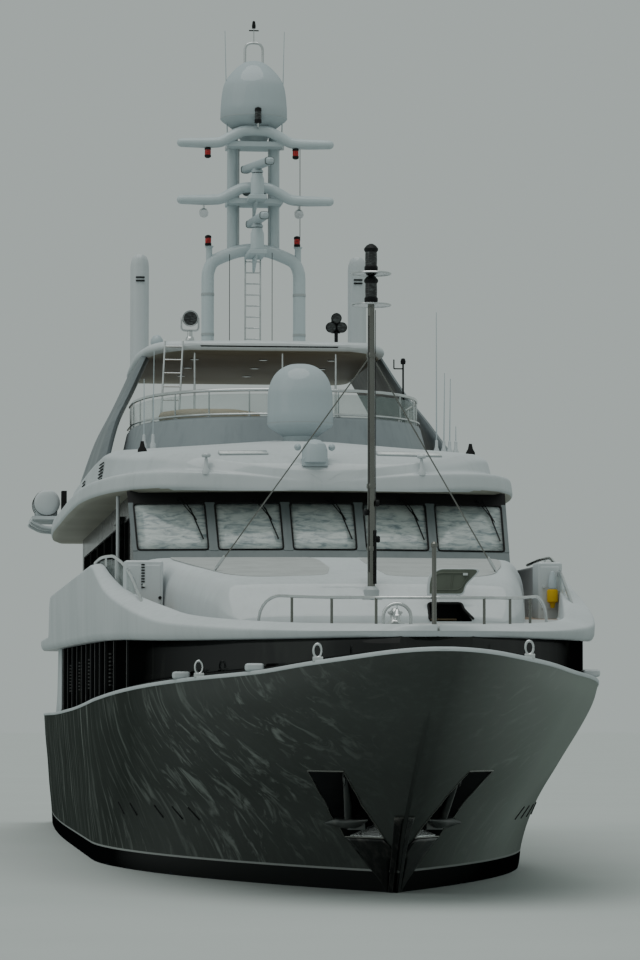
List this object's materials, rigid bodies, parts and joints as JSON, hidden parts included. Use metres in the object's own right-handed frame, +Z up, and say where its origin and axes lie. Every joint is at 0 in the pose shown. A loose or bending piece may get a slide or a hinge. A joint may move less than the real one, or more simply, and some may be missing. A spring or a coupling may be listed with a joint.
{
  "type": "scale model of a motor yacht",
  "caption": "Half-size model of a tri-deck motor yacht with flared hull, raked bridge screen, hardtop, mast with domes, turning gear and doors.",
  "frame": {"origin": "amidships on the centreline at the waterline, the mount water", "axes": "+X to port, bow towards -Y, +Z up"},
  "size_m": [4.8, 24.5, 10.3305],
  "materials": {
    "hull_grey": "gloss",
    "white_gloss": "gloss",
    "frame_grey": "satin",
    "dark_glass": "gloss",
    "clear_glass": "gloss",
    "stainless": "polished",
    "underwater": "matt",
    "bronze": "satin",
    "black": "satin",
    "teak": "oiled"
  },
  "bodies": {
    "yacht": {"hull": "hull_grey", "stem_guard": "stainless", "anchor_port": "stainless", "anchor_stbd": "stainless", "swim_platform": "white_gloss", "foredeck": "white_gloss", "upper_deck": "white_gloss", "foredeck_bulwark": "white_gloss", "bulwark_port": "white_gloss", "bulwark_stbd": "white_gloss", "main_deck_house": "dark_glass", "saloon_screen": "white_gloss", "trunk_front": "white_gloss", "foredeck_trunk": "white_gloss", "foredeck_rail": "stainless", "jackstaff": "stainless", "bow_hoop": "stainless", "foremast": "stainless", "sun_deck": "white_gloss", "windscreen_frame": "frame_grey", "windscreen_glass": "clear_glass", "bridge_house": "white_gloss", "side_glass_port": "dark_glass", "side_glass_stbd": "dark_glass", "sun_deck_coaming": "frame_grey", "sun_deck_glass": "clear_glass", "sun_deck_rail": "stainless", "hardtop": "white_gloss", "hardtop_ladder": "stainless", "mast": "white_gloss", "main_dome": "white_gloss", "dome_hoop": "stainless", "front_dome": "white_gloss", "mast_ladder": "stainless", "lamp_cluster": "black", "raft_shelf_port": "white_gloss", "raft_shelf_stbd": "white_gloss", "main_deck_stairs": "white_gloss", "upper_deck_stairs": "white_gloss", "upper_deck_rail": "stainless", "sun_deck_aft_rail": "stainless", "ensign_staff": "teak"},
    "propeller_port": {"propeller_port": "bronze"},
    "propeller_stbd": {"propeller_stbd": "bronze"},
    "rudder_port": {"rudder_port": "underwater"},
    "rudder_stbd": {"rudder_stbd": "underwater"},
    "fin_port": {"stabiliser_fin_port": "underwater"},
    "fin_stbd": {"stabiliser_fin_stbd": "underwater"},
    "transom_door": {"transom_door": "hull_grey"},
    "saloon_door": {"saloon_door": "dark_glass"},
    "lounge_door": {"lounge_door": "dark_glass"},
    "bridge_door_port": {"bridge_door_port": "white_gloss"},
    "bridge_door_stbd": {"bridge_door_stbd": "white_gloss"},
    "locker_lid": {"locker_lid": "frame_grey"},
    "radar_lower": {"radar_lower": "white_gloss"},
    "radar_upper": {"radar_upper": "white_gloss"},
    "searchlight": {"searchlight": "stainless"}
  },
  "joints": [
    {"name": "propeller_port_spin", "type": "hinge", "parent": "yacht", "child": "propeller_port", "pos_m": [0.875, 8.8, -0.84], "axis": [0, -0.9964, 0.0847], "continuous": true},
    {"name": "rudder_port_turn", "type": "hinge", "parent": "yacht", "child": "rudder_port", "pos_m": [0.875, 9.8, -0.5], "axis": [0, 0, 1], "range_deg": [-35, 35]},
    {"name": "fin_port_tilt", "type": "hinge", "parent": "yacht", "child": "fin_port", "pos_m": [1.675, 0.75, -0.625], "axis": [0.9487, 0, -0.3162], "range_deg": [-20, 20]},
    {"name": "propeller_stbd_spin", "type": "hinge", "parent": "yacht", "child": "propeller_stbd", "pos_m": [-0.875, 8.8, -0.84], "axis": [0, -0.9964, 0.0847], "continuous": true},
    {"name": "rudder_stbd_turn", "type": "hinge", "parent": "yacht", "child": "rudder_stbd", "pos_m": [-0.875, 9.8, -0.5], "axis": [0, 0, 1], "range_deg": [-35, 35]},
    {"name": "fin_stbd_tilt", "type": "hinge", "parent": "yacht", "child": "fin_stbd", "pos_m": [-1.675, 0.75, -0.625], "axis": [-0.9487, 0, -0.3162], "range_deg": [-20, 20]},
    {"name": "transom_door_lift", "type": "hinge", "parent": "yacht", "child": "transom_door", "pos_m": [0, 11.11, 1], "axis": [1, 0, 0], "range_deg": [0, 85]},
    {"name": "saloon_door_slide", "type": "slide", "parent": "yacht", "child": "saloon_door", "axis": [1, 0, 0], "range_m": [0, 1]},
    {"name": "lounge_door_slide", "type": "slide", "parent": "yacht", "child": "lounge_door", "axis": [1, 0, 0], "range_m": [0, 0.95]},
    {"name": "bridge_door_port_slide", "type": "slide", "parent": "yacht", "child": "bridge_door_port", "axis": [0, 1, 0], "range_m": [0, 0.44]},
    {"name": "bridge_door_stbd_slide", "type": "slide", "parent": "yacht", "child": "bridge_door_stbd", "axis": [0, 1, 0], "range_m": [0, 0.44]},
    {"name": "locker_lid_hinge", "type": "hinge", "parent": "yacht", "child": "locker_lid", "pos_m": [0.605, -8.18, 2.39], "axis": [1, 0, 0], "range_deg": [0, 150]},
    {"name": "radar_lower_spin", "type": "hinge", "parent": "yacht", "child": "radar_lower", "pos_m": [0, 2.2, 6.82], "axis": [0, 0, 1], "continuous": true},
    {"name": "radar_upper_spin", "type": "hinge", "parent": "yacht", "child": "radar_upper", "pos_m": [0, 2.2, 7.43], "axis": [0, 0, 1], "continuous": true},
    {"name": "searchlight_turn", "type": "hinge", "parent": "yacht", "child": "searchlight", "pos_m": [-0.8, 1.5, 5.475], "axis": [0, 0, 1], "range_deg": [-170, 170]}
  ],
  "couplings": [
    {"joint": "rudder_stbd_turn", "follows": "rudder_port_turn", "ratio": 1}
  ]
}
